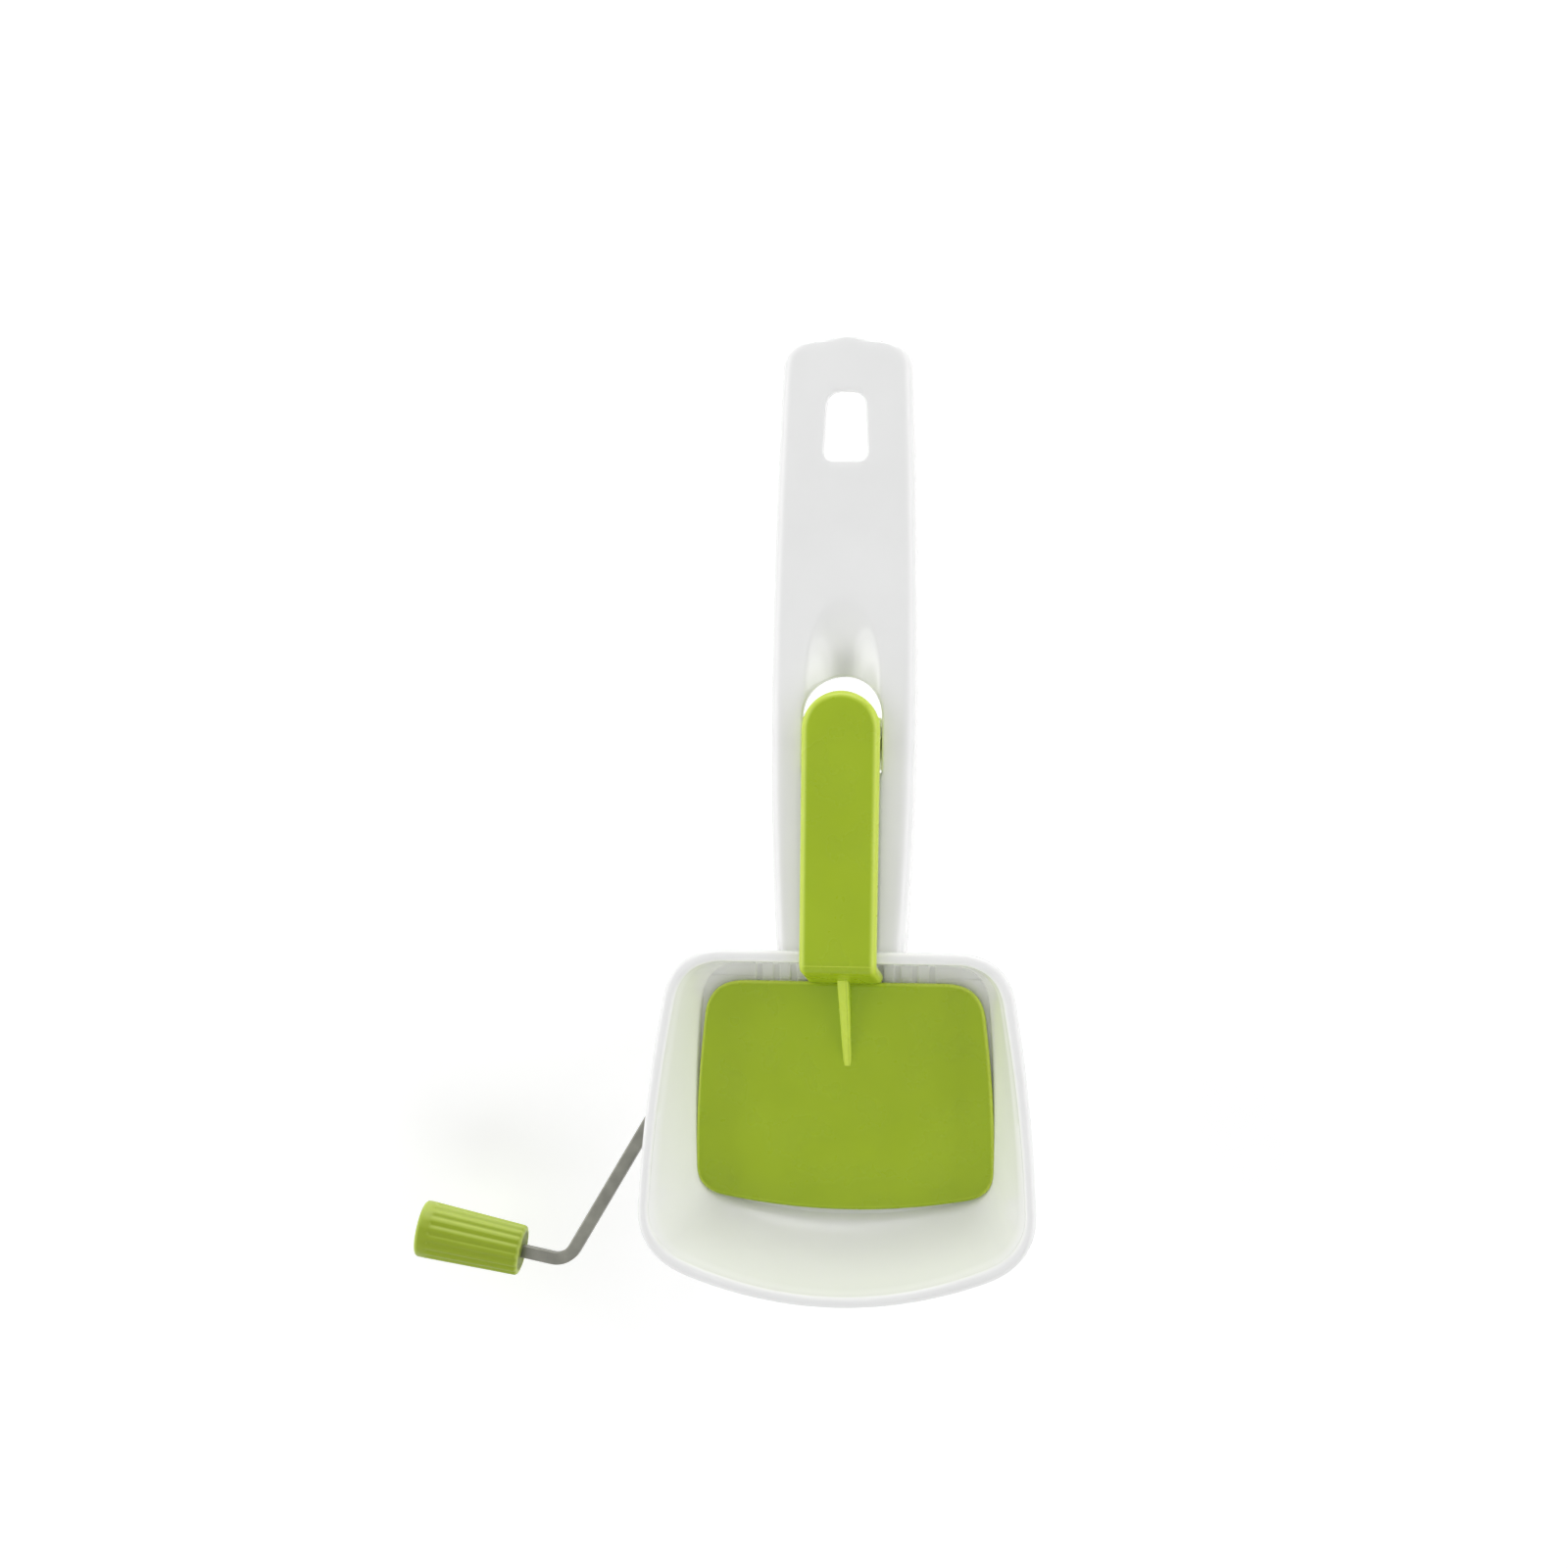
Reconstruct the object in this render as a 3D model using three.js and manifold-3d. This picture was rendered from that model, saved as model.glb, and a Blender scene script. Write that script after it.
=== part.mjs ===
import * as THREE from 'three';
import { mergeVertices } from 'three/addons/utils/BufferGeometryUtils.js';
import Module from 'manifold-3d';

// Hand-crank herb mill, in millimetres: X along the rotor, Y towards the handle's tip, Z up.
// All pieces are drawn about the rotor's axis, and the last group lifts that axis above the foot.

// Fits
const runningGap = 0.3; // between pieces that touch or turn on each other
const slotGap = 0.65; // each side of a blade in its comb slot
const swingGap = 0.4; // under the pusher's arm where it crosses the rim

// Rotor
const bladeCount = 11;
const bladePitch = 4;
const bladeThickness = 0.7;
const bladeRadius = 17.4;
const toothCount = 14; // not a multiple of 4, so quarter turns stagger the teeth
const toothDepth = 2.8;
const toothHook = 0.16; // share of a tooth's pitch that its cutting edge leans forward
const spacerRadius = 4.6;
const hubRadius = 5.4;
const journalRadius = 4.5;
const clipRadius = 4.8;
const clipThickness = 1;
const clipSlit = 0.8;

// Crank, drawn in the XY plane of its rest position
const barSide = 3;
const barChamfer = 0.35;
const barTail = 1.4; // bar past the clip
const bendRadius = 5;
const bendSteps = 6;
const crankCorner = 36.35; // rotor's middle to the first bend's corner
const crankSlant = 30; // degrees that the arm leans away from the hopper
const crankArm = 62.5; // corner to corner
const knobTilt = 11; // degrees that the knob leans back to the rotor's axis
const knobStand = 11; // second corner to the knob
const swageWidth = 5;
const swageThickness = 2;
const swageLength = 1.6;
const swageTaper = 0.8;

// Knob
const knobLength = 24.4;
const knobInnerRadius = 6.1;
const knobOuterRadius = 6.5;
const knobEndWall = 3;
const knobEdge = 0.9;
const knobCollar = 2.6; // smooth band at the outer end
const fluteCount = 18;
const fluteDepth = 0.45;
const fluteSteps = 4;

// Hopper: the inside runs from the rim over a bend down to the lip of the trough
const wall = 2;
const rimHeight = 35.5;
const rimBead = 2.7;
const rimBeadDepth = 3;
const rimRound = 1; // rounding of the bead's two upper edges
const rimBack = 19.2;
const rimFront = -56.2;
const rimHalfBack = 36.4;
const rimHalfFront = 44;
const rimBow = 11;
const rimReach = 10.2;
const rimSwell = 0.7; // sides bow out this far at their middle
const bendHeight = 9;
const bendBack = 18.2;
const bendFront = -49;
const bendHalfBack = 31.2;
const bendHalfFront = 33.6;
const bendBow = 8;
const bendReach = 9;
const bendSwell = 0.4;
const lipHeight = 5.5;
const lipReach = 2.5;
const hopperSteps = 5;
const cornerSteps = 5;
const roundSteps = 2;

// Trough, comb, cheeks and foot
const troughLap = 2.2; // blades reach this far into the trough's wall
const troughWall = 1.8;
const troughHalf = 29;
const troughSides = 24;
const slotInset = 1; // round ends of the comb slots, in front of the rim's back
const ledgeGap = 0.7; // between the plate's back edge and the ledge that the slots open into
const ledgeThickness = 2;
const ledgeRound = 0.8;
const bossRadius = 8;
const bossStand = 1.5;
const axisHeight = 22.5;
const footBack = 12; // rotor's axis to the back face of the foot
const footFront = 18.5;
const footRail = 12;
const cheekTop = 9;

// Handle
const rimStep = 1; // rim above the handle's top
const handleCrown = 0.9;
const handleTip = 161.4;
const handleRootHalf = 14.5;
const handleGripHalf = 16.55;
const handleTipHalf = 14.5;
const handleGripAt = 76;
const handleDraft = 0.1;
const handleRootDepth = 9;
const handleTipDepth = 6.5;
const handleEdge = 2.6;
const tipCorner = 5.6;
const tipSteps = 4;
const tipBow = 1.2; // tip's middle beyond its corners
const tipShares = [0.4, 0.7]; // of the bow's half width, where it has a ring
const handleStations = 5;
const hangBack = 148.8;
const hangFront = 133.3;
const hangHalfBack = 4.25;
const hangHalfFront = 5.1;
const hangReach = 3.2;
const hangFrontReach = 2.6;
const scoopLength = 19;
const scoopHalf = 8.8;
const scoopDepth = 5.4;

// Pusher and its hinge
const hingeY = 69;
const hingeDrop = 3.4; // hinge axis under the handle's top
const pinRadius = 1.25;
const pinHalf = 13;
const pinSides = 20;
const hingeSlotHalf = 9;
const hingeSlotBack = 84.3;
const hingeSlotFront = 62.5;
const hingeBoss = 4;
const earHalf = 3.6;
const earInner = 5.4;
const earOuter = 8.2;
const armTail = 81;
const armTailHalf = 8.6;
const armLegHalf = 8.6;
const armThickness = 3;
const armEdge = 1.1;
const armCorner = 2;
const legFront = 13.6;
const legThickness = 2.4;
const legLean = 3.4; // leg's top stands this far behind its foot
const legKnee = 3;
const plateBack = 14.2;
const plateFront = -39.2;
const plateHalfBack = 32;
const plateHalfFront = 35.1;
const plateBow = 4;
const plateReach = 9;
const plateFrontReach = 7;
const plateSwell = 0.5;
const plateThickness = 2;
const plateEdge = 0.5;
const plateTop = 22.4; // plate's back edge above the rotor's axis
const plateSlope = 7.4; // degrees that the plate falls towards the front
const gussetRise = 5.2; // web's top above the plate's back edge
const gussetFront = -4.8;
const gussetHalf = 1.25;
const gussetTipHalf = 0.75;

// Values that follow from the sizes above
const gapWall = 2 * runningGap;
const squareHole = barSide + gapWall;
const stackHalf = (bladeCount - 1) / 2 * bladePitch + bladeThickness / 2;
const spacerThickness = bladePitch - bladeThickness - gapWall;
const troughRadius = bladeRadius - troughLap;
const slotRadius = bladeRadius + slotGap;
const slotWidth = bladeThickness + 2 * slotGap;
const cheekHalf = troughHalf + wall;
const bossHalf = cheekHalf + bossStand;
const bushEnd = bossHalf + 2 * runningGap;
const clipStart = bushEnd + runningGap;
const barEnd = clipStart + clipThickness + barTail;
const handleTop = rimHeight - rimStep;
const hingeZ = handleTop - hingeDrop;
const armBottom = rimHeight + swingGap;
const ledgeFront = plateBack + ledgeGap;
const ledgeTop = plateTop - plateThickness - swingGap;
const slotBack = rimBack - slotInset;
const armTop = armBottom + armThickness;
const radians = THREE.MathUtils.degToRad;

const whitePlastic = { color: 0xe4e7e7, roughness: 0.25, metalness: 0 };
const greenPlastic = { color: 0x97b52c, roughness: 0.35, metalness: 0 };
const steel = { color: 0x8f9294, roughness: 0.35, metalness: 1 };
const darkSteel = { color: 0x77797b, roughness: 0.4, metalness: 1 };

const wasm = await Module();
wasm.setup();

// A closed geometry as a solid that can be joined and cut
function solid(geometry) {
  const bare = geometry.index ? geometry.clone() : mergeVertices(geometry);
  bare.deleteAttribute('normal');
  bare.deleteAttribute('uv');
  const merged = mergeVertices(bare, 1e-4);
  const vertProperties = new Float32Array(merged.attributes.position.array);
  const triVerts = new Uint32Array(merged.index.array);
  return new wasm.Manifold(new wasm.Mesh({ numProp: 3, vertProperties, triVerts }));
}

function geometryOf(body) {
  const mesh = body.getMesh();
  const geometry = new THREE.BufferGeometry();
  geometry.setAttribute('position', new THREE.BufferAttribute(mesh.vertProperties, 3));
  geometry.setIndex(new THREE.BufferAttribute(mesh.triVerts, 1));
  geometry.computeVertexNormals();
  return geometry;
}

// A closed geometry through a stack of rings; each ring turns left about the way the stack runs
function loft(rings) {
  const count = rings[0].length;
  const last = (rings.length - 1) * count;
  const points = rings.flat();
  const faces = [];
  for (let start = 0; start < last; start += count) {
    for (let i = 0; i < count; i++) {
      const here = start + i;
      const next = start + (i + 1) % count;
      faces.push(here, next, next + count, here, next + count, here + count);
    }
  }
  const middle = (ring) => ring.reduce((sum, p) => sum.add(p), new THREE.Vector3()).divideScalar(count);
  points.push(middle(rings[0]), middle(rings.at(-1)));
  for (let i = 0; i < count; i++) {
    const next = (i + 1) % count;
    faces.push(next, i, points.length - 2, last + i, last + next, points.length - 1);
  }
  const geometry = new THREE.BufferGeometry().setFromPoints(points);
  geometry.setIndex(faces);
  return geometry;
}

// Extrusion of a YZ shape along X, centred on the middle plane or starting at a given place
function alongX(shape, length, start = -length / 2, curveSegments = 8) {
  const geometry = new THREE.ExtrudeGeometry(shape, { depth: length, bevelEnabled: false, curveSegments });
  const axes = [new THREE.Vector3(0, 1, 0), new THREE.Vector3(0, 0, 1), new THREE.Vector3(1, 0, 0)];
  return geometry.applyMatrix4(new THREE.Matrix4().makeBasis(...axes)).translate(start, 0, 0);
}

function rodAlongX(radius, length, start = -length / 2, sides = 24) {
  const geometry = new THREE.CylinderGeometry(radius, radius, length, sides);
  return geometry.rotateZ(-Math.PI / 2).translate(start + length / 2, 0, 0);
}

function block(fromX, toX, fromY, toY, fromZ, toZ) {
  const geometry = new THREE.BoxGeometry(toX - fromX, toY - fromY, toZ - fromZ);
  return geometry.translate((fromX + toX) / 2, (fromY + toY) / 2, (fromZ + toZ) / 2);
}

function squarePath(side) {
  const half = side / 2;
  const path = new THREE.Path().moveTo(-half, -half);
  return path.lineTo(-half, half).lineTo(half, half).lineTo(half, -half).lineTo(-half, -half);
}

function discShape(radius, holeSide) {
  const shape = new THREE.Shape().absarc(0, 0, radius, 0, 2 * Math.PI);
  shape.holes.push(squarePath(holeSide));
  return shape;
}

// Plan outline shared by the hopper's levels, the plate and the hang hole:
// a flared four-sided form with rounded corners, swelling sides and a bowed front
function flaredOutline({ back, front, halfBack, halfFront, bow, reach, frontReach = reach, swell = 0 }) {
  const cornerY = front + bow;
  const side = new THREE.Vector2(halfFront - halfBack, cornerY - back).normalize();
  const slope = 2 * bow / (halfFront + frontReach);
  const bowEnd = cornerY - slope * frontReach;
  const high = new THREE.Vector2(halfBack, back).addScaledVector(side, reach);
  const low = new THREE.Vector2(halfFront, cornerY).addScaledVector(side, -frontReach);
  const middle = high.clone().add(low).divideScalar(2);
  middle.addScaledVector(new THREE.Vector2(-side.y, side.x), 2 * swell);
  const shape = new THREE.Shape().moveTo(halfBack - reach, back);
  shape.lineTo(reach - halfBack, back);
  shape.quadraticCurveTo(-halfBack, back, -high.x, high.y);
  shape.quadraticCurveTo(-middle.x, middle.y, -low.x, low.y);
  shape.quadraticCurveTo(-halfFront, cornerY, frontReach - halfFront, bowEnd);
  shape.quadraticCurveTo(0, cornerY - slope * halfFront, halfFront - frontReach, bowEnd);
  shape.quadraticCurveTo(halfFront, cornerY, low.x, low.y);
  shape.quadraticCurveTo(middle.x, middle.y, high.x, high.y);
  shape.quadraticCurveTo(halfBack, back, halfBack - reach, back);
  return shape;
}

function ringAt(outline, z) {
  const points = outline.getPoints(cornerSteps);
  points.pop();
  return points.map((p) => new THREE.Vector3(p.x, p.y, z));
}

// Inside of the hopper at t = 0 (rim) to t = 1 (lip of the trough), grown outwards by a margin
function hopperLevel(t, margin) {
  const bend = (rim, middle, lip) => (1 - t) ** 2 * rim + 2 * t * (1 - t) * middle + t ** 2 * lip;
  const outline = flaredOutline({
    back: bend(rimBack, bendBack, troughRadius) + margin,
    front: bend(rimFront, bendFront, -troughRadius) - margin,
    halfBack: bend(rimHalfBack, bendHalfBack, troughHalf) + margin,
    halfFront: bend(rimHalfFront, bendHalfFront, troughHalf) + margin,
    bow: bend(rimBow, bendBow, 0),
    reach: bend(rimReach, bendReach, lipReach) + margin,
    swell: bend(rimSwell, bendSwell, 0),
  });
  return { outline, z: bend(rimHeight, bendHeight, lipHeight) };
}

function rimRing(margin, drop) {
  return ringAt(hopperLevel(0, margin).outline, rimHeight - drop);
}

// Steps round a quarter circle: how far each one has come in and how far it is still below the top
function quarterRound(radius) {
  const steps = [];
  for (let step = 0; step <= roundSteps; step++) {
    const angle = step / roundSteps * Math.PI / 2;
    steps.push({ inset: radius * (1 - Math.cos(angle)), drop: radius * (1 - Math.sin(angle)) });
  }
  return steps;
}

function hopperOutside() {
  const rings = [];
  for (let step = hopperSteps; step > 0; step--) {
    const t = step / hopperSteps;
    const level = hopperLevel(t, wall);
    rings.push(ringAt(level.outline, level.z - wall * t));
  }
  rings.push(rimRing(wall, rimBeadDepth));
  rings.push(rimRing(rimBead, rimBeadDepth - (rimBead - wall)));
  for (const { inset, drop } of quarterRound(rimRound)) {
    rings.push(rimRing(rimBead - inset, drop));
  }
  return loft(rings);
}

function hopperInside() {
  const rings = [ringAt(hopperLevel(1, 0).outline, 0)];
  for (let step = hopperSteps; step > 0; step--) {
    const level = hopperLevel(step / hopperSteps, 0);
    rings.push(ringAt(level.outline, level.z));
  }
  for (const { inset, drop } of quarterRound(rimRound)) {
    rings.push(rimRing(inset, drop));
  }
  rings.push(rimRing(rimRound, -wall));
  return loft(rings);
}

function handleHalf(y) {
  const atRoot = y < handleGripAt;
  const end = atRoot ? rimBack : handleTip;
  const endHalf = atRoot ? handleRootHalf : handleTipHalf;
  return handleGripHalf - (handleGripHalf - endHalf) * ((y - handleGripAt) / (end - handleGripAt)) ** 2;
}

// Cross-section of the handle as a ring: crowned top, rounded edges and drafted sides
function handleRing(y, half, top, bottom) {
  const shoulder = top - handleCrown;
  const topHalf = half - handleDraft;
  const slope = 2 * handleCrown / (topHalf + handleEdge);
  const crownEnd = shoulder + slope * handleEdge;
  const shape = new THREE.Shape().moveTo(-half, bottom);
  shape.lineTo(half, bottom);
  shape.lineTo(topHalf, shoulder - handleEdge);
  shape.quadraticCurveTo(topHalf, shoulder, topHalf - handleEdge, crownEnd);
  shape.quadraticCurveTo(0, shoulder + slope * topHalf, handleEdge - topHalf, crownEnd);
  shape.quadraticCurveTo(-topHalf, shoulder, -topHalf, shoulder - handleEdge);
  return shape.getPoints(cornerSteps).map((p) => new THREE.Vector3(p.x, y, p.y));
}

// Handle block inset by a margin, from its root to its bowed tip; a drop lowers the underside
function handleBlock(from, margin, drop) {
  const rings = [];
  const cornerStart = handleTip - tipBow - tipCorner;
  const cornerHalf = handleHalf(cornerStart);
  const radius = tipCorner - margin;
  const depthAt = (y) => THREE.MathUtils.mapLinear(y, rimBack, handleTip, handleRootDepth, handleTipDepth);
  const add = (y, half) => {
    const bottom = handleTop - depthAt(y) - drop;
    rings.push(handleRing(y, half - margin, handleTop - margin, bottom));
  };
  for (const share of tipShares) {
    add(handleTip - margin - tipBow * share ** 2, (cornerHalf - tipCorner) * share + margin);
  }
  for (let step = tipSteps; step > 0; step--) {
    const angle = step / tipSteps * Math.PI / 2;
    add(cornerStart + radius * Math.sin(angle), cornerHalf - radius * (1 - Math.cos(angle)));
  }
  for (let step = handleStations; step >= 0; step--) {
    const y = THREE.MathUtils.lerp(from, cornerStart, step / handleStations);
    add(y, handleHalf(y));
  }
  return loft(rings);
}

function scoop(margin) {
  const bowl = new THREE.SphereGeometry(1, 24, 12);
  bowl.scale(scoopHalf + margin, scoopLength + margin, scoopDepth + margin);
  return bowl.translate(0, hingeSlotBack - wall, handleTop);
}

function upright(shape, from, to, curveSegments = 8) {
  const options = { depth: to - from, bevelEnabled: false, curveSegments };
  return new THREE.ExtrudeGeometry(shape, options).translate(0, 0, from);
}

function hingeSlotShape() {
  const centre = hingeSlotBack - hingeSlotHalf;
  const shape = new THREE.Shape().moveTo(-hingeSlotHalf, hingeSlotFront);
  shape.lineTo(hingeSlotHalf, hingeSlotFront);
  shape.absarc(0, centre, hingeSlotHalf, 0, Math.PI);
  shape.lineTo(-hingeSlotHalf, hingeSlotFront);
  return shape;
}

function hangHoleShape() {
  return flaredOutline({
    back: hangBack,
    front: hangFront,
    halfBack: hangHalfBack,
    halfFront: hangHalfFront,
    bow: 0,
    reach: hangReach,
    frontReach: hangFrontReach,
  });
}

function cheekShape() {
  const shape = new THREE.Shape().moveTo(-footFront, -axisHeight);
  shape.lineTo(footBack, -axisHeight);
  shape.lineTo(footBack, footRail - axisHeight);
  shape.lineTo(troughRadius, cheekTop);
  shape.lineTo(-troughRadius - troughWall, cheekTop);
  shape.lineTo(-footFront, footRail - axisHeight);
  return shape;
}

// One comb slot: round the blade in the trough, and up through the ledge to a round end
function combSlot(x) {
  const half = slotWidth / 2;
  const disc = solid(rodAlongX(slotRadius, slotWidth, x - half, troughSides));
  const plan = new THREE.Shape().moveTo(x - half, 0);
  plan.lineTo(x + half, 0);
  plan.lineTo(x + half, slotBack - half);
  plan.absarc(x, slotBack - half, half, 0, Math.PI);
  plan.lineTo(x - half, 0);
  return disc.add(solid(upright(plan, 0, rimHeight, 2)));
}

// Ledge along the foot of the back wall, level with the underside of the plate
function ledgeSolid() {
  const ledgeBottom = ledgeTop - ledgeThickness;
  const shape = new THREE.Shape().moveTo(ledgeFront, ledgeBottom);
  shape.lineTo(rimBack + wall, ledgeBottom);
  shape.lineTo(rimBack + wall, ledgeTop);
  shape.lineTo(ledgeFront + ledgeRound, ledgeTop);
  shape.quadraticCurveTo(ledgeFront, ledgeTop, ledgeFront, ledgeTop - ledgeRound);
  shape.lineTo(ledgeFront, ledgeBottom);
  return solid(alongX(shape, 2 * rimHalfBack, undefined, 3));
}

// Open-backed handle with the thumb scoop's bowl and the two hinge bosses under its top
function handleSolid() {
  const root = rimBack + wall;
  let handle = solid(handleBlock(rimBack, 0, 0));
  handle = handle.subtract(solid(handleBlock(root, wall, wall)));
  handle = handle.add(solid(scoop(wall)).intersect(solid(handleBlock(root, wall / 2, wall))));
  const [inner, outer] = [hingeSlotHalf - wall, handleHalf(hingeY) - wall / 2];
  const [front, back] = [hingeY - hingeBoss, hingeY + hingeBoss];
  for (const from of [-outer, inner]) {
    const boss = block(from, from + outer - inner, front, back, hingeZ - hingeBoss, handleTop - wall / 2);
    handle = handle.add(solid(boss));
  }
  return handle;
}

// Half-round trough between two cheeks, which stand on a foot frame and carry the rotor's bosses
function troughSolid() {
  let trough = solid(rodAlongX(troughRadius + troughWall, 2 * cheekHalf, -cheekHalf, troughSides));
  for (const start of [-cheekHalf, troughHalf]) {
    trough = trough.add(solid(alongX(cheekShape(), wall, start)));
  }
  for (const y of [-footFront, footBack - wall]) {
    const rail = block(-cheekHalf, cheekHalf, y, y + wall, -axisHeight, footRail - axisHeight);
    trough = trough.add(solid(rail));
  }
  return trough.add(solid(rodAlongX(bossRadius, 2 * bossHalf)));
}

function bodySolid() {
  const hopper = solid(hopperOutside());
  let body = hopper.add(handleSolid()).add(troughSolid());
  body = body.subtract(solid(hopperInside())).add(ledgeSolid().intersect(hopper));
  body = body.subtract(solid(rodAlongX(troughRadius, 2 * troughHalf, -troughHalf, troughSides)));
  body = body.subtract(solid(rodAlongX(journalRadius + runningGap, 2 * bushEnd)));
  for (let i = 0; i < bladeCount; i++) {
    body = body.subtract(combSlot(bladeX(i)));
  }
  body = body.subtract(solid(scoop(0)));
  body = body.subtract(solid(upright(hingeSlotShape(), 0, rimHeight)));
  body = body.subtract(solid(upright(hangHoleShape(), 0, rimHeight, cornerSteps)));
  const pinBore = rodAlongX(pinRadius + runningGap, 2 * (pinHalf + runningGap), undefined, pinSides);
  return body.subtract(solid(pinBore.translate(0, hingeY, hingeZ)));
}

// Side view of the pusher's arm and its leg, which leans forward to the plate
function armProfile() {
  const legFoot = plateTop - plateThickness;
  const leanTo = (z) => legLean * (z - legFoot) / (armTop - legFoot);
  const knee = armTop - legKnee;
  const shape = new THREE.Shape().moveTo(armTail, armBottom);
  shape.lineTo(armTail, armTop);
  shape.lineTo(legFront + legLean + legKnee, armTop);
  shape.quadraticCurveTo(legFront + legLean, armTop, legFront + leanTo(knee), knee);
  shape.lineTo(legFront, legFoot);
  shape.lineTo(legFront + legThickness, legFoot);
  shape.lineTo(legFront + legThickness + leanTo(armBottom), armBottom);
  shape.lineTo(armTail, armBottom);
  return shape;
}

// Plan view of the arm: round tail over the hinge, straight sides and rounded lower corners
function armPlan() {
  const tailCentre = armTail - armTailHalf;
  const shape = new THREE.Shape().moveTo(armCorner - armLegHalf, legFront);
  shape.lineTo(armLegHalf - armCorner, legFront);
  shape.quadraticCurveTo(armLegHalf, legFront, armLegHalf, legFront + armCorner);
  shape.lineTo(armTailHalf, tailCentre);
  shape.absarc(0, tailCentre, armTailHalf, 0, Math.PI);
  shape.lineTo(-armLegHalf, legFront + armCorner);
  shape.quadraticCurveTo(-armLegHalf, legFront, armCorner - armLegHalf, legFront);
  return shape;
}

function armSolid() {
  const height = armTop - plateTop + plateThickness;
  const plan = new THREE.ExtrudeGeometry(armPlan(), {
    depth: height - armEdge,
    bevelThickness: armEdge,
    bevelSize: armEdge,
    bevelOffset: -armEdge,
    bevelSegments: 3,
    curveSegments: 10,
  });
  plan.translate(0, 0, armTop - height);
  return solid(plan).intersect(solid(alongX(armProfile(), 4 * armTailHalf)));
}

function plateSolid() {
  const outline = flaredOutline({
    back: 0,
    front: plateFront - plateBack,
    halfBack: plateHalfBack,
    halfFront: plateHalfFront,
    bow: plateBow,
    reach: plateReach,
    frontReach: plateFrontReach,
    swell: plateSwell,
  });
  const plate = new THREE.ExtrudeGeometry(outline, {
    depth: plateThickness - 2 * plateEdge,
    bevelThickness: plateEdge,
    bevelSize: plateEdge,
    bevelOffset: -plateEdge,
    bevelSegments: 2,
    curveSegments: cornerSteps,
  });
  plate.translate(0, 0, plateEdge - plateThickness).rotateX(radians(plateSlope));
  return solid(plate.translate(0, plateBack, plateTop));
}

// Web on the middle line from the leg down to the plate, narrowing towards the plate's middle
function gussetSolid() {
  const fall = Math.tan(radians(plateSlope));
  const sink = plateThickness / 2;
  const ring = (y, half, top) => {
    const bottom = plateTop - (plateBack - y) * fall - sink;
    const corners = [[-half, bottom], [half, bottom], [half, top], [-half, top]];
    return corners.map(([x, z]) => new THREE.Vector3(x, y, z));
  };
  const tipTop = plateTop - (plateBack - gussetFront) * fall;
  const atLeg = ring(legFront + 0.9 * legThickness, gussetHalf, plateTop + gussetRise);
  return solid(loft([atLeg, ring(gussetFront, gussetTipHalf, tipTop)]));
}

function earSolid(start) {
  const shape = new THREE.Shape().moveTo(hingeY + earHalf, armBottom + armThickness / 2);
  shape.lineTo(hingeY - earHalf, armBottom + armThickness / 2);
  shape.lineTo(hingeY - earHalf, hingeZ);
  shape.absarc(hingeY, hingeZ, earHalf, Math.PI, 2 * Math.PI);
  return solid(alongX(shape, earOuter - earInner, start));
}

function pusherSolid() {
  let pusher = armSolid().add(plateSolid()).add(gussetSolid());
  pusher = pusher.add(earSolid(earInner)).add(earSolid(-earOuter));
  const bore = rodAlongX(pinRadius + runningGap, 2 * pinHalf, undefined, pinSides);
  return pusher.subtract(solid(bore.translate(0, hingeY, hingeZ)));
}

// Toothed disc with a square hole: each tooth has a steep hooked edge and a curved back
function bladeShape() {
  const pitch = 2 * Math.PI / toothCount;
  const root = bladeRadius - toothDepth;
  const at = (radius, angle) => [radius * Math.cos(angle), radius * Math.sin(angle)];
  const shape = new THREE.Shape().moveTo(...at(root, 0));
  for (let tooth = 0; tooth < toothCount; tooth++) {
    const start = tooth * pitch;
    shape.lineTo(...at(bladeRadius, start - toothHook * pitch));
    shape.quadraticCurveTo(...at(bladeRadius, start + pitch / 2), ...at(root, start + pitch));
  }
  shape.holes.push(squarePath(squareHole));
  return shape;
}

function bladeX(index) {
  return (index - (bladeCount - 1) / 2) * bladePitch;
}

function bladeGeometry(index) {
  const blade = alongX(bladeShape(), bladeThickness, undefined, 2);
  return blade.rotateX(index * Math.PI / 2).translate(bladeX(index), 0, 0);
}

function spacerGeometry(index) {
  const spacer = alongX(discShape(spacerRadius, squareHole), spacerThickness);
  return spacer.translate(bladeX(index) + bladePitch / 2, 0, 0);
}

// Hub against the end blade and a round journal in the cheek, with the bar's square hole through both
function bushGeometry(side) {
  const hubStart = stackHalf + runningGap;
  const hubEnd = troughHalf - runningGap;
  const hub = solid(rodAlongX(hubRadius, hubEnd - hubStart, hubStart));
  const journal = solid(rodAlongX(journalRadius, bushEnd - hubStart, hubStart));
  const half = squareHole / 2;
  const hole = solid(block(0, 2 * bushEnd, -half, half, -half, half));
  const bush = geometryOf(hub.add(journal).subtract(hole));
  return side > 0 ? bush : bush.rotateZ(Math.PI);
}

// Push-on clip: a washer whose square hole is slit at the corners so that its tongues can bend
function clipGeometry() {
  let clip = solid(alongX(discShape(clipRadius, squareHole), clipThickness, clipStart));
  const reach = (clipRadius + squareHole) / 2;
  for (let turn = 0; turn < 4; turn++) {
    const slit = block(0, 2 * clipStart, 0, reach, -clipSlit / 2, clipSlit / 2);
    clip = clip.subtract(solid(slit.rotateX(turn * Math.PI / 2 + Math.PI / 4)));
  }
  return geometryOf(clip);
}

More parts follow.
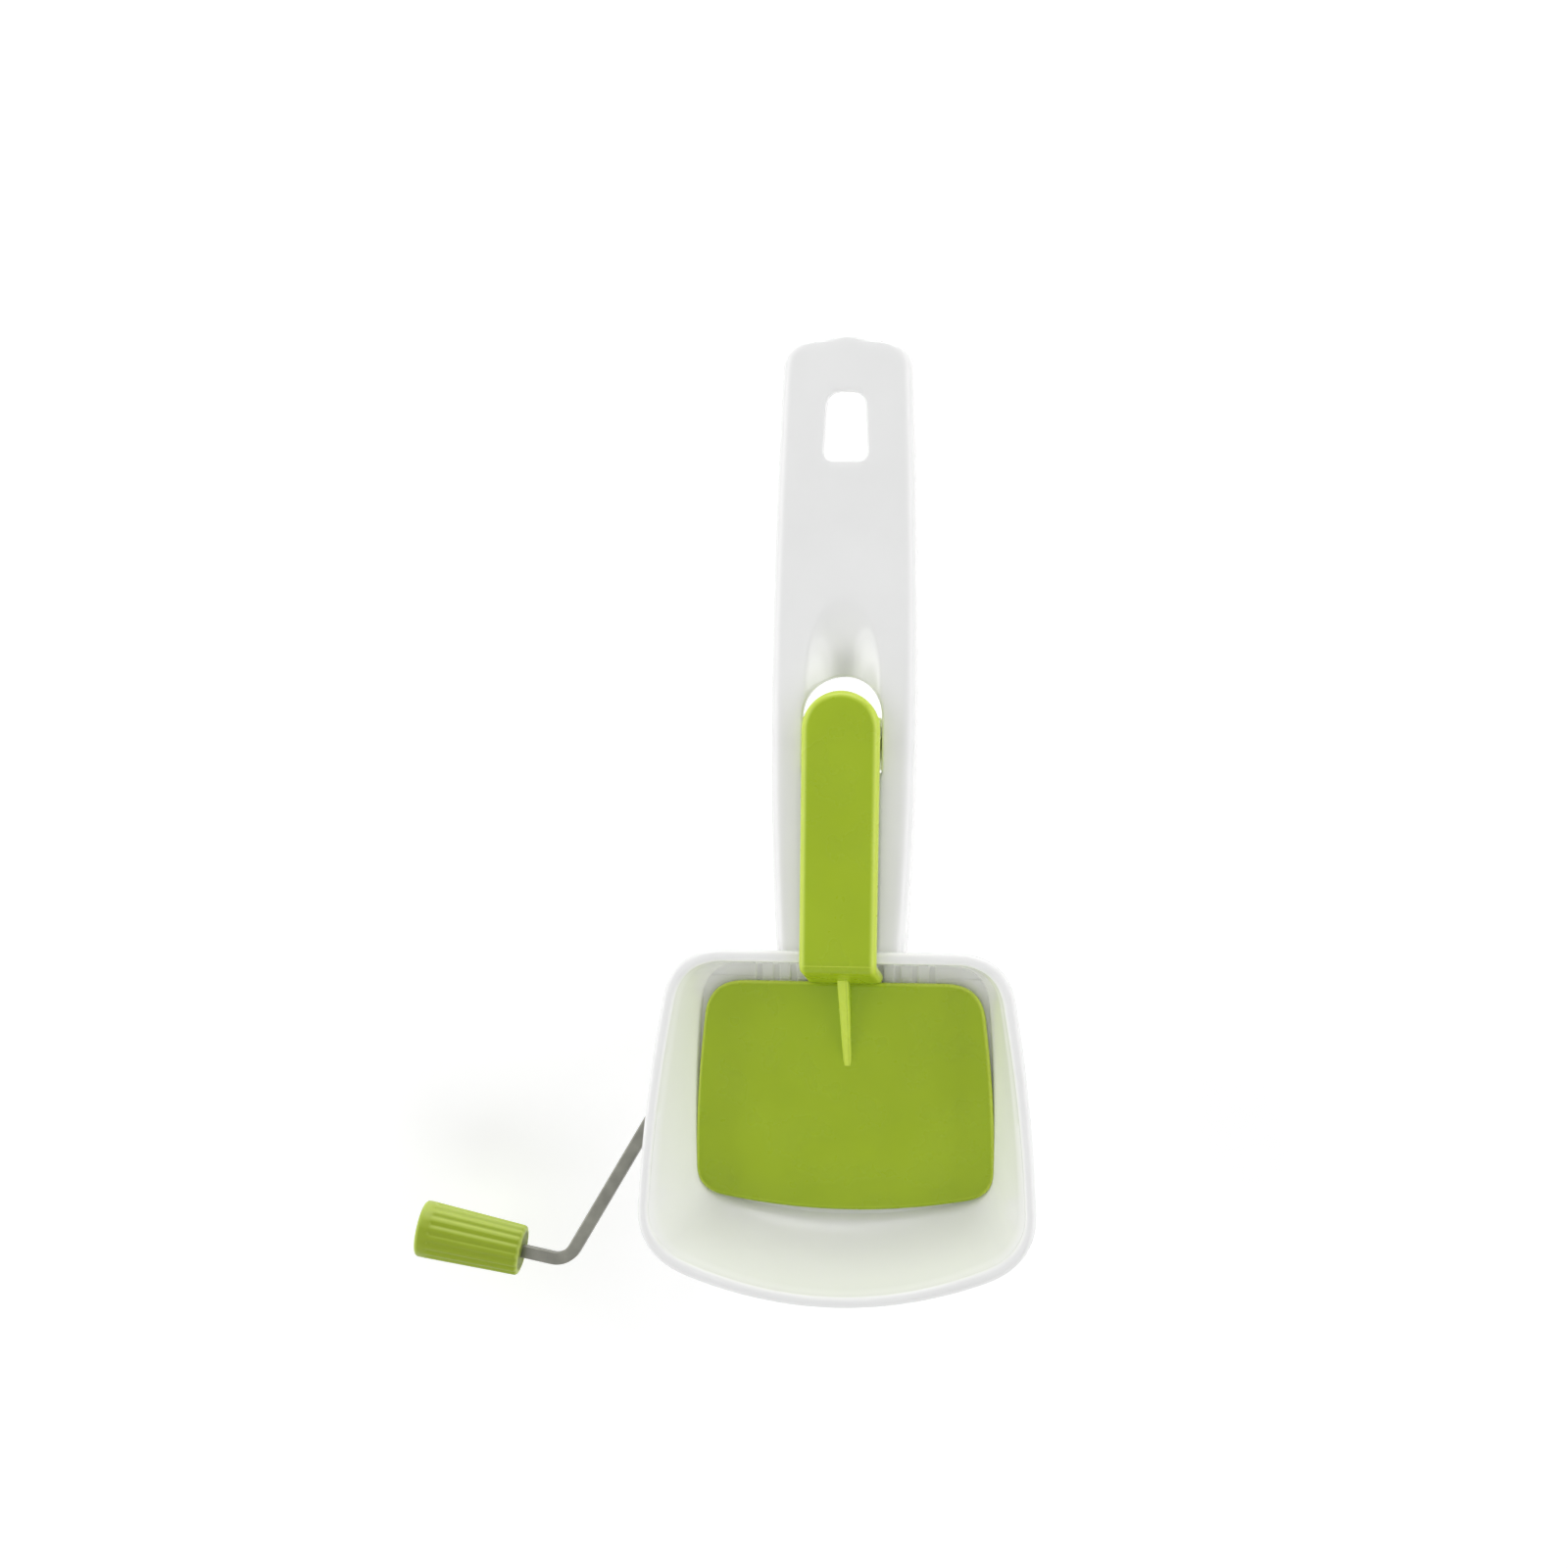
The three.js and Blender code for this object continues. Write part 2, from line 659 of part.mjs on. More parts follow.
// Directions and corners of the crank in its plane
const armDirection = new THREE.Vector2(-Math.sin(radians(crankSlant)), -Math.cos(radians(crankSlant)));
const knobDirection = new THREE.Vector2(-Math.cos(radians(knobTilt)), Math.sin(radians(knobTilt)));
const firstCorner = new THREE.Vector2(-crankCorner, 0);
const secondCorner = firstCorner.clone().addScaledVector(armDirection, crankArm);
const knobStart = secondCorner.clone().addScaledVector(knobDirection, knobStand);
const barReach = knobStand + knobLength - knobEndWall - runningGap; // second corner to the bar's end

// Ring round the bar at a point of its path: a rectangle with chamfered corners
function barRing(point, direction, width = barSide, thickness = barSide) {
  const across = new THREE.Vector3(-direction.y, direction.x, 0);
  const [w, h, c] = [width / 2, thickness / 2, barChamfer];
  const right = [[w - c, -h], [w, c - h], [w, h - c], [w - c, h]];
  const left = right.map(([a, z]) => [-a, -z]);
  const place = ([a, z]) => new THREE.Vector3(point.x, point.y, z).addScaledVector(across, a);
  return [...right, ...left].map(place);
}

// Rings round a bend of the bar at a corner of its path
function bendRings(corner, before, after) {
  const turn = Math.atan2(before.cross(after), before.dot(after));
  const across = new THREE.Vector2(-before.y, before.x).multiplyScalar(Math.sign(turn));
  const start = corner.clone().addScaledVector(before, -bendRadius * Math.tan(Math.abs(turn) / 2));
  const rings = [];
  for (let step = 0; step <= bendSteps; step++) {
    const angle = Math.abs(turn) * step / bendSteps;
    const point = start.clone().addScaledVector(before, bendRadius * Math.sin(angle));
    point.addScaledVector(across, bendRadius * (1 - Math.cos(angle)));
    const direction = before.clone().multiplyScalar(Math.cos(angle));
    rings.push(barRing(point, direction.addScaledVector(across, Math.sin(angle))));
  }
  return rings;
}

function barGeometry() {
  const shaft = new THREE.Vector2(-1, 0);
  const onKnobAxis = (distance) => secondCorner.clone().addScaledVector(knobDirection, distance);
  return loft([
    barRing(new THREE.Vector2(barEnd, 0), shaft),
    ...bendRings(firstCorner, shaft, armDirection),
    ...bendRings(secondCorner, armDirection, knobDirection),
    barRing(onKnobAxis(barReach - swageLength - swageTaper), knobDirection),
    barRing(onKnobAxis(barReach - swageLength), knobDirection, swageWidth, swageThickness),
    barRing(onKnobAxis(barReach), knobDirection, swageWidth, swageThickness),
  ]);
}

// Knob along +X from the end where the bar enters: fluted taper, smooth collar and rounded end
function knobGeometry() {
  const count = fluteCount * fluteSteps;
  const ring = (x, radius, depth) => {
    const points = [];
    for (let i = 0; i < count; i++) {
      const angle = i / count * 2 * Math.PI;
      const reach = radius - depth * (0.5 - 0.5 * Math.cos(fluteCount * angle));
      points.push(new THREE.Vector3(x, reach * Math.cos(angle), reach * Math.sin(angle)));
    }
    return points;
  };
  const collarAt = knobLength - knobCollar;
  const rings = [
    ring(0, knobInnerRadius - knobEdge, 0),
    ring(knobEdge / 2, knobInnerRadius, fluteDepth),
    ring(collarAt - fluteDepth, knobOuterRadius, fluteDepth),
    ring(collarAt, knobOuterRadius, 0),
  ];
  for (const { inset, drop } of quarterRound(knobEdge)) {
    rings.push(ring(knobLength - drop, knobOuterRadius - inset, 0));
  }
  const boreRadius = Math.SQRT1_2 * barSide + runningGap;
  const pocketRadius = Math.hypot(swageWidth, swageThickness) / 2 + runningGap;
  const pocketEnd = knobLength - knobEndWall;
  const pocketLength = swageLength + swageTaper + gapWall;
  const bore = solid(rodAlongX(boreRadius, 2 * pocketEnd, -pocketEnd));
  const pocket = solid(rodAlongX(pocketRadius, pocketLength, pocketEnd - pocketLength));
  return geometryOf(solid(loft(rings)).subtract(bore).subtract(pocket));
}

function piece(name, geometry, look) {
  const mesh = new THREE.Mesh(geometry, new THREE.MeshStandardMaterial(look));
  mesh.name = name;
  return mesh;
}

const hingePin = piece('hinge_pin', rodAlongX(pinRadius, 2 * pinHalf, undefined, pinSides), steel);
hingePin.position.set(0, hingeY, hingeZ);

const knob = piece('crank_knob', knobGeometry(), greenPlastic);
knob.position.set(knobStart.x, knobStart.y, 0);
knob.rotation.z = Math.PI - radians(knobTilt);

const crank = new THREE.Group();
crank.add(piece('crank_bar', barGeometry(), steel), knob);
crank.add(piece('left_bush', bushGeometry(-1), whitePlastic));
crank.add(piece('right_bush', bushGeometry(1), whitePlastic));
crank.add(piece('retaining_clip', clipGeometry(), darkSteel));
for (let i = 0; i < bladeCount; i++) {
  crank.add(piece(`blade_${i + 1}`, bladeGeometry(i), steel));
}
for (let i = 0; i < bladeCount - 1; i++) {
  crank.add(piece(`spacer_${i + 1}`, spacerGeometry(i), darkSteel));
}

const mill = new THREE.Group();
mill.add(piece('body', geometryOf(bodySolid()), whitePlastic));
mill.add(piece('pusher', geometryOf(pusherSolid()), greenPlastic));
mill.add(hingePin, crank);
mill.position.set(0, wall / 2 - footBack, axisHeight);

const herbMill = new THREE.Group();
herbMill.add(mill);

export default herbMill;
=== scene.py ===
import math

import bmesh
import bpy
from mathutils import Matrix, Vector


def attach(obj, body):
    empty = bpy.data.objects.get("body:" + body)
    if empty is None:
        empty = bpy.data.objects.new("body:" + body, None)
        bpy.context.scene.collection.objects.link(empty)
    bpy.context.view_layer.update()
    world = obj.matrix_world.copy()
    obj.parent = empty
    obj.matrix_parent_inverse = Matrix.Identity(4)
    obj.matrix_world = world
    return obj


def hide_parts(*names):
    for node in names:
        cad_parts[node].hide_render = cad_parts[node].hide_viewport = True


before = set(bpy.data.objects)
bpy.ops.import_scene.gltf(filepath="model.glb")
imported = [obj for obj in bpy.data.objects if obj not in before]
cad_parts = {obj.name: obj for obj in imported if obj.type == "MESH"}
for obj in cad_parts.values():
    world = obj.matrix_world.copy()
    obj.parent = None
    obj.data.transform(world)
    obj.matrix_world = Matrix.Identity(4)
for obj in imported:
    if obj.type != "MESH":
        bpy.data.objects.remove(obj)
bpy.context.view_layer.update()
scene = bpy.context.scene
print("frame loaded:", len(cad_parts), "nodes")

mm = 0.001
rotorAt = Vector((0, -11, 22.5))  # rotor's axis in the frame, mm; every piece is drafted about it
intoFrame = Matrix.Scale(mm, 4) @ Matrix.Translation(rotorAt)


# mesh helpers

def curve(start, control, end, steps):  # quadratic curve without its last point
    start, control, end = Vector(start), Vector(control), Vector(end)
    ts = [step / steps for step in range(steps)]
    return [start * (1 - t) ** 2 + control * 2 * t * (1 - t) + end * t * t for t in ts]


def halfCircle(radius, y, steps):  # round back end of a slot, without its last point
    angles = [math.pi * step / steps for step in range(steps)]
    return [Vector((radius * math.cos(a), y + radius * math.sin(a))) for a in angles]


def straight(start, end, steps):
    return [Vector(start).lerp(Vector(end), step / steps) for step in range(steps)]


def flaredOutline(back, front, halfBack, halfFront, bow, reach, frontReach, swell):
    cornerY = front + bow
    side = Vector((halfFront - halfBack, cornerY - back)).normalized()
    slope = 2 * bow / (halfFront + frontReach)
    bowEnd = cornerY - slope * frontReach
    backEnd, sideTop = Vector((halfBack - reach, back)), Vector((halfBack, back)) + side * reach
    frontEnd = Vector((halfFront - frontReach, bowEnd))
    sideLow = Vector((halfFront, cornerY)) - side * frontReach
    middle = (sideTop + sideLow) / 2 + Vector((-side.y, side.x)) * 2 * swell
    right = straight((0, back), backEnd, 12)
    right += curve(backEnd, (halfBack, back), sideTop, 14)
    right += curve(sideTop, middle, sideLow, 20)
    right += curve(sideLow, (halfFront, cornerY), frontEnd, 14)
    right += curve(frontEnd, (frontEnd.x / 2, bowEnd - slope * frontEnd.x / 2), (0, front), 18)
    right.append(Vector((0, front)))
    return [Vector((-p.x, p.y)) for p in right] + right[-2:0:-1]


def addLoop(bm, points):
    verts = [bm.verts.new(point) for point in points]
    return [bm.edges.new(pair) for pair in zip(verts, verts[1:] + verts[:1])]


def loft(bm, rings):  # closed skin over rings of equal count
    loops = [addLoop(bm, ring) for ring in rings]
    for low, high in zip(loops, loops[1:]):
        bmesh.ops.bridge_loops(bm, edges=low + high)
    for ends in (loops[0], loops[-1]):
        bmesh.ops.edgeloop_fill(bm, edges=ends)
    bmesh.ops.recalc_face_normals(bm, faces=bm.faces)


def extrudeLoop(bm, points, shift):  # flat outline filled and pushed out into a solid
    face = bmesh.ops.edgeloop_fill(bm, edges=addLoop(bm, points))["faces"]
    grown = bmesh.ops.extrude_face_region(bm, geom=face)["geom"]
    bmesh.ops.translate(bm, vec=shift, verts=[v for v in grown if isinstance(v, bmesh.types.BMVert)])


def roundEdges(bm, edges, offset, segments):
    bmesh.ops.bevel(bm, geom=edges, offset=offset, affect="EDGES", segments=segments, profile=0.5, material=-1)


def levelEdges(bm, z):  # edges that lie at one height
    return [e for e in bm.edges if all(abs(v.co.z - z) < 1e-5 for v in e.verts)]


def rodAlongX(bm, radius, fromX, toX, y=0, z=0, segments=96):
    turn = Matrix.Translation(((fromX + toX) / 2, y, z)) @ Matrix.Rotation(math.pi / 2, 4, "Y")
    bmesh.ops.create_cone(bm, cap_ends=True, segments=segments, radius1=radius, radius2=radius,
                          depth=toX - fromX, matrix=turn)


def softBlock(bm, low, high, edge, segments=3):  # box with rounded edges, alone in its mesh
    low, high = Vector(low), Vector(high)
    size = Matrix.Diagonal((*(high - low), 1))
    bmesh.ops.create_cube(bm, size=1, matrix=Matrix.Translation((low + high) / 2) @ size)
    roundEdges(bm, bm.edges[:], edge, segments)


def blank(name, draw):  # temporary solid for joining and cutting, still in mm
    bm = bmesh.new()
    draw(bm)
    bmesh.ops.recalc_face_normals(bm, faces=bm.faces)
    mesh = bpy.data.meshes.new(name)
    bm.to_mesh(mesh)
    bm.free()
    ob = bpy.data.objects.new(name, mesh)
    scene.collection.objects.link(ob)
    return ob


def combine(base, others, operation):
    group = bpy.data.collections.new("operands")
    scene.collection.children.link(group)
    for other in others:
        group.objects.link(other)
    mod = base.modifiers.new("combine", "BOOLEAN")
    mod.solver = "EXACT"
    mod.operation = operation
    mod.operand_type = "COLLECTION"
    mod.collection = group
    ready = base.evaluated_get(bpy.context.evaluated_depsgraph_get())
    mesh = bpy.data.meshes.new_from_object(ready)
    base.modifiers.clear()
    base.data = mesh
    for other in others:
        bpy.data.objects.remove(other)
    bpy.data.collections.remove(group)
    return base


def finishPiece(ob, body, replaced, material, sharp=34):
    bm = bmesh.new()
    bm.from_mesh(ob.data)
    bmesh.ops.remove_doubles(bm, verts=bm.verts, dist=0.002)
    bmesh.ops.dissolve_degenerate(bm, edges=bm.edges, dist=0.002)
    bmesh.ops.transform(bm, matrix=intoFrame, verts=bm.verts)
    bm.to_mesh(ob.data)
    bm.free()
    ob.data.materials.clear()
    ob.data.materials.append(material)
    ob.data.shade_smooth()
    ob.data.set_sharp_from_angle(angle=math.radians(sharp))
    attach(ob, body)
    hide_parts(*replaced)
    print(ob.name, len(ob.data.polygons), "faces")
    return ob


# finishes

def newFinish(name):
    mat = bpy.data.materials.new(name)
    mat.use_nodes = True
    nodes = mat.node_tree.nodes
    return mat, nodes, mat.node_tree.links, nodes["Principled BSDF"]


def mathNode(nodes, links, operation, *values):  # each value is a number or another node's output
    node = nodes.new("ShaderNodeMath")
    node.operation = operation
    for socket, value in zip(node.inputs, values):
        if isinstance(value, (int, float)):
            socket.default_value = value
        else:
            links.new(value, socket)
    return node.outputs[0]


def plasticFinish(name, look):
    mat, nodes, links, shader = newFinish(name)
    place = nodes.new("ShaderNodeTexCoord")
    drift = nodes.new("ShaderNodeTexNoise")
    drift.inputs["Scale"].default_value = look["driftScale"]
    drift.inputs["Detail"].default_value = 3
    tone = nodes.new("ShaderNodeValToRGB")
    tone.color_ramp.elements[0].position = 0.3
    tone.color_ramp.elements[1].position = 0.7
    tone.color_ramp.elements[0].color = (*look["low"], 1)
    tone.color_ramp.elements[1].color = (*look["high"], 1)
    links.new(place.outputs["Object"], drift.inputs["Vector"])
    links.new(drift.outputs["Fac"], tone.inputs["Fac"])
    turned = nodes.new("ShaderNodeSeparateXYZ")  # painted highlight: where the normal turns sideways or along Y, a lighter edge colour is mixed into the base, standing in for light catching the edges
    links.new(place.outputs["Normal"], turned.inputs["Vector"])
    aside = mathNode(nodes, links, "ABSOLUTE", turned.outputs["X"])
    along = mathNode(nodes, links, look["facing"], turned.outputs["Y"], 0)
    most = mathNode(nodes, links, "MAXIMUM", aside, along)
    thin = mathNode(nodes, links, "COMPARE", turned.outputs["Y"], look["thinSlope"], 0.02)  # sloping top of the web, which gets the same painted highlight
    paintedSheenMask = mathNode(nodes, links, "MULTIPLY_ADD", thin, 0.6, most)
    share = nodes.new("ShaderNodeMapRange")
    share.inputs["From Min"].default_value, share.inputs["From Max"].default_value = 0.15, look["paintedSheenAt"]
    share.inputs["To Max"].default_value = look["paintedSheenShare"]
    links.new(paintedSheenMask, share.inputs["Value"])
    mix = nodes.new("ShaderNodeMix")
    mix.data_type = "RGBA"
    links.new(share.outputs["Result"], mix.inputs["Factor"])
    links.new(tone.outputs["Color"], mix.inputs["A"])
    # the lighter colour of the painted edge highlight, mixed in by the share above
    mix.inputs["B"].default_value = (*look["edge"], 1)
    links.new(mix.outputs["Result"], shader.inputs["Base Color"])
    rub = nodes.new("ShaderNodeTexNoise")
    rub.inputs["Scale"].default_value = look["rubScale"]
    rub.inputs["Detail"].default_value = 6
    gloss = nodes.new("ShaderNodeMapRange")
    gloss.inputs["From Min"].default_value = 0.3
    gloss.inputs["From Max"].default_value = 0.7
    gloss.inputs["To Min"].default_value, gloss.inputs["To Max"].default_value = look["roughness"]
    links.new(place.outputs["Object"], rub.inputs["Vector"])
    links.new(rub.outputs["Fac"], gloss.inputs["Value"])
    links.new(gloss.outputs["Result"], shader.inputs["Roughness"])
    peel = nodes.new("ShaderNodeTexNoise")
    peel.inputs["Scale"].default_value = look["peelScale"]
    bump = nodes.new("ShaderNodeBump")
    bump.inputs["Strength"].default_value = look["peel"]
    bump.inputs["Distance"].default_value = 0.0001
    links.new(place.outputs["Object"], peel.inputs["Vector"])
    links.new(peel.outputs["Fac"], bump.inputs["Height"])
    links.new(bump.outputs["Normal"], shader.inputs["Normal"])
    shader.inputs["Specular IOR Level"].default_value = look["shine"]
    shader.inputs["Subsurface Weight"].default_value = look["glow"]
    shader.inputs["Subsurface Radius"].default_value = look["glowTint"]
    shader.inputs["Subsurface Scale"].default_value = look["glowDepth"] * mm
    return mat


# In each look, edge is the colour of the painted highlight on surfaces turned sideways, given with its share and the
# tilt at which that share is full
whiteGloss = plasticFinish("white gloss plastic", dict(
    low=(0.84, 0.843, 0.84), high=(0.87, 0.873, 0.87), driftScale=45, rubScale=90, roughness=(0.1, 0.2),
    peelScale=420, peel=0.12, glow=0.4, glowTint=(1, 1, 1), glowDepth=3, shine=0.5,
    edge=(0.97, 0.97, 0.965), paintedSheenShare=0.8, paintedSheenAt=0.8, facing="ABSOLUTE", thinSlope=2))
limeSatin = plasticFinish("lime satin plastic", dict(
    low=(0.35, 0.485, 0.007), high=(0.375, 0.515, 0.01), driftScale=60, rubScale=140, roughness=(0.24, 0.34),
    peelScale=900, peel=0.2, glow=0.25, glowTint=(0.85, 1, 0.2), glowDepth=1.5, shine=0.4,
    edge=(0.65, 0.79, 0.09), paintedSheenShare=0.9, paintedSheenAt=0.6, facing="MAXIMUM", thinSlope=-0.343))
limeKnob = plasticFinish("lime knob plastic", dict(
    low=(0.285, 0.375, 0.02), high=(0.31, 0.405, 0.026), driftScale=70, rubScale=180, roughness=(0.34, 0.46),
    peelScale=900, peel=0.2, glow=0.25, glowTint=(0.85, 1, 0.2), glowDepth=1.5, shine=0.3,
    edge=(0.62, 0.75, 0.15), paintedSheenShare=0.7, paintedSheenAt=0.85, facing="MAXIMUM", thinSlope=2))


def steelFinish(name, look):
    mat, nodes, links, shader = newFinish(name)
    shader.inputs["Metallic"].default_value = 1
    place = nodes.new("ShaderNodeTexCoord")
    grain = nodes.new("ShaderNodeTexNoise")
    grain.inputs["Scale"].default_value = look["scale"]
    grain.inputs["Detail"].default_value = 8
    links.new(place.outputs["Object"], grain.inputs["Vector"])
    tone = nodes.new("ShaderNodeValToRGB")
    tone.color_ramp.elements[0].position = 0.25
    tone.color_ramp.elements[1].position = 0.75
    tone.color_ramp.elements[0].color = (*look["low"], 1)
    tone.color_ramp.elements[1].color = (*look["high"], 1)
    links.new(grain.outputs["Fac"], tone.inputs["Fac"])
    links.new(tone.outputs["Color"], shader.inputs["Base Color"])
    gloss = nodes.new("ShaderNodeMapRange")
    gloss.inputs["To Min"].default_value, gloss.inputs["To Max"].default_value = look["roughness"]
    links.new(grain.outputs["Fac"], gloss.inputs["Value"])
    links.new(gloss.outputs["Result"], shader.inputs["Roughness"])
    return mat


barSteel = steelFinish("drawn steel", dict(
    low=(0.19, 0.19, 0.165), high=(0.26, 0.26, 0.225), scale=300, roughness=(0.28, 0.45)))
bladeSteel = steelFinish("blade steel", dict(
    low=(0.45, 0.45, 0.44), high=(0.58, 0.58, 0.57), scale=260, roughness=(0.2, 0.35)))
nodeFinish = {"blade": bladeSteel, "left_bush": whiteGloss, "right_bush": whiteGloss}
for nodeName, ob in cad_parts.items():
    kind = nodeName.rstrip("0123456789").rstrip("_")
    ob.data.materials.clear()
    ob.data.materials.append(nodeFinish.get(kind, barSteel))


# body: hopper, handle, trough and foot

hopperSizes = dict(
    rim=dict(back=19.2, front=-56.2, halfBack=36.4, halfFront=44, bow=11, reach=10.2, frontReach=10.2, swell=0.7),
    bend=dict(back=18.2, front=-49, halfBack=30, halfFront=31.6, bow=8, reach=9, frontReach=9, swell=0.4),
    lip=dict(back=15.2, front=-15.2, halfBack=29, halfFront=29, bow=0, reach=2.5, frontReach=2.5, swell=0),
    heights=(35.5, 9, 5.5), wall=2, bead=2.7, sink=0.5, beadDepth=3, rimRound=1.15, steps=26, roundSteps=7)
handleSizes = dict(
    root=19.2, wall=2, top=34.5, crown=0.9, tip=161.4, draft=0.1,
    rootHalf=14.5, gripHalf=16.55, tipHalf=14.5, gripAt=76, rootDepth=9, tipDepth=6.5,
    edge=2.6, tipCorner=5.6, tipBow=1.2,
    scoopCentre=82.3, scoopLength=21, scoopHalf=8.8, scoopDepth=5.4, scoopSoft=1.35, fine=(80, 0.55, 102.6),
    slotHalf=9, slotBack=84.3, slotFront=62.5, slotRound=0.6, hangRound=0.6,
    hang=dict(back=148.8, front=133.3, halfBack=4.25, halfFront=5.1, bow=0, reach=3.2, frontReach=2.6, swell=0))
troughSizes = dict(
    radius=15.2, outside=17, half=29, cheekHalf=31, bossRadius=8, bossHalf=32.5, footBack=12, footFront=18.5,
    rail=2, railTop=-10.5, floor=-22.5, cheekTop=9, bore=4.8, edge=0.5)
combSizes = dict(
    count=11, pitch=4, width=2, window=1.1, radius=18.05, back=18.2, edge=0.55,
    ledgeFront=14.9, ledgeTop=20, ledgeThick=2, ledgeEdge=0.8,
    seatGap=0.35, seatThick=1.2, seatLap=2, floor=(17.2, 19.5), floorSpan=(12.5, 18.9), floorEdge=0.3, windowFront=6)
pusherSizes = dict(
    tail=81, tailHalf=8.95, legHalf=8.75, bottom=35.9, thick=3, legFront=13.6, legFoot=20.4, legThin=0.8, lean=10.4,
    knee=3.3, legEnd=21.3,
    topEdge=1.9, underEdge=0.4, ear=(5.4, 8.7), earHalf=6, earDrop=3.6, earEdge=0.3,
    plate=dict(back=0, front=-53.4, halfBack=32, halfFront=35.1, bow=4, reach=9, frontReach=7, swell=0.5),
    plateAt=(0, 14.2, 22.4), plateThick=2, plateSlope=7.4, plateEdge=(1, 0.4),
    web=dict(leg=15.7, tip=-5, legHalf=1.3, tipHalf=0.95, tipShift=0.7, top=27.6, edge=0.75))
hingeSizes = dict(y=69, z=31.1, bore=1.55, boreHalf=13.3,
                  boss=4, bossInner=7, bossOuter=15.5, bossTop=33.3, bossEdge=0.6)


def blendSizes(t, key):
    a, b, c = (hopperSizes[level][key] for level in ("rim", "bend", "lip"))
    return (1 - t) ** 2 * a + 2 * t * (1 - t) * b + t * t * c


def hopperHeight(t):
    a, b, c = hopperSizes["heights"]
    return (1 - t) ** 2 * a + 2 * t * (1 - t) * b + t * t * c


def hopperRing(t, margin, z):
    outline = flaredOutline(blendSizes(t, "back") + margin, blendSizes(t, "front") - margin,
                            blendSizes(t, "halfBack") + margin, blendSizes(t, "halfFront") + margin,
                            blendSizes(t, "bow"), blendSizes(t, "reach") + margin,
                            blendSizes(t, "frontReach") + margin, blendSizes(t, "swell"))
    return [(p.x, p.y, z) for p in outline]


def quarterRound(radius, steps):  # how far in and how far below the top
    angles = [step / steps * math.pi / 2 for step in range(steps + 1)]
    return [(radius * (1 - math.cos(a)), radius * (1 - math.sin(a))) for a in angles]


def drawHopperOutside(bm, shrink=0):
    s = hopperSizes
    wall, bead = s["wall"] - shrink, s["bead"] - shrink
    top = s["heights"][0]
    rings = []
    for step in range(s["steps"], 0, -1):
        t = step / s["steps"]
        z = hopperHeight(t) - wall * t
        if z < top - s["beadDepth"] - 0.3:
            rings.append(hopperRing(t, wall, z))
    rings.append(hopperRing(0, wall, top - s["beadDepth"]))
    rings.append(hopperRing(0, wall + 0.15, top - s["beadDepth"] + 0.4))
    rings.append(hopperRing(0, bead - 0.15, top - s["beadDepth"] + 0.75))
    rings.append(hopperRing(0, bead, top - s["beadDepth"] + 1.15))
    for inset, drop in quarterRound(s["rimRound"], s["roundSteps"]):
        rings.append(hopperRing(0, bead - inset, top - drop))
    loft(bm, rings)


def drawHopperInside(bm):
    s = hopperSizes
    top = s["heights"][0]
    rings = [hopperRing(1, 0, -s["sink"])]
    for step in range(s["steps"], 0, -1):
        t = step / s["steps"]
        if hopperHeight(t) < top - s["rimRound"] - 0.2:
            rings.append(hopperRing(t, 0, hopperHeight(t)))
    for inset, drop in quarterRound(s["rimRound"], s["roundSteps"]):
        rings.append(hopperRing(0, inset, top - drop))
    rings.append(hopperRing(0, s["rimRound"], top + 2))
    loft(bm, rings)


def handleHalf(y):
    s = handleSizes
    end, endHalf = (s["root"], s["rootHalf"]) if y < s["gripAt"] else (s["tip"], s["tipHalf"])
    return s["gripHalf"] - (s["gripHalf"] - endHalf) * ((y - s["gripAt"]) / (end - s["gripAt"])) ** 2


def smoothStep(t):
    t = min(max(t, 0), 1)
    return t * t * (3 - 2 * t)


def scoopDip(x, y):  # depth of the thumb scoop behind the hinge slot
    s = handleSizes
    t = max((y - s["scoopCentre"]) / s["scoopLength"], 0)
    if t >= 1:
        return 0
    across = x / (s["scoopHalf"] * math.sqrt(1 - t * t))
    return s["scoopDepth"] * smoothStep(1 - t) * max(1 - across * across, 0) ** s["scoopSoft"]


def handleSection(y, half, margin, bottom):
    s = handleSizes
    top = s["top"] - margin
    shoulder = top - s["crown"]
    topHalf = half - s["draft"]
    slope = 2 * s["crown"] / (topHalf + s["edge"])
    crownEnd = shoulder + slope * s["edge"]
    points = straight((-half, bottom), (half, bottom), 4)
    points += straight((half, bottom), (topHalf, shoulder - s["edge"]), 3)
    points += curve((topHalf, shoulder - s["edge"]), (topHalf, shoulder), (topHalf - s["edge"], crownEnd), 9)
    points += curve((topHalf - s["edge"], crownEnd), (0, shoulder + slope * topHalf),
                    (s["edge"] - topHalf, crownEnd), 60)
    points += curve((s["edge"] - topHalf, crownEnd), (-topHalf, shoulder), (-topHalf, shoulder - s["edge"]), 9)
    points += straight((-topHalf, shoulder - s["edge"]), (-half, bottom), 3)
    return [(p.x, y, p.y - (scoopDip(p.x, y) if p.y > top - 2 else 0)) for p in points]


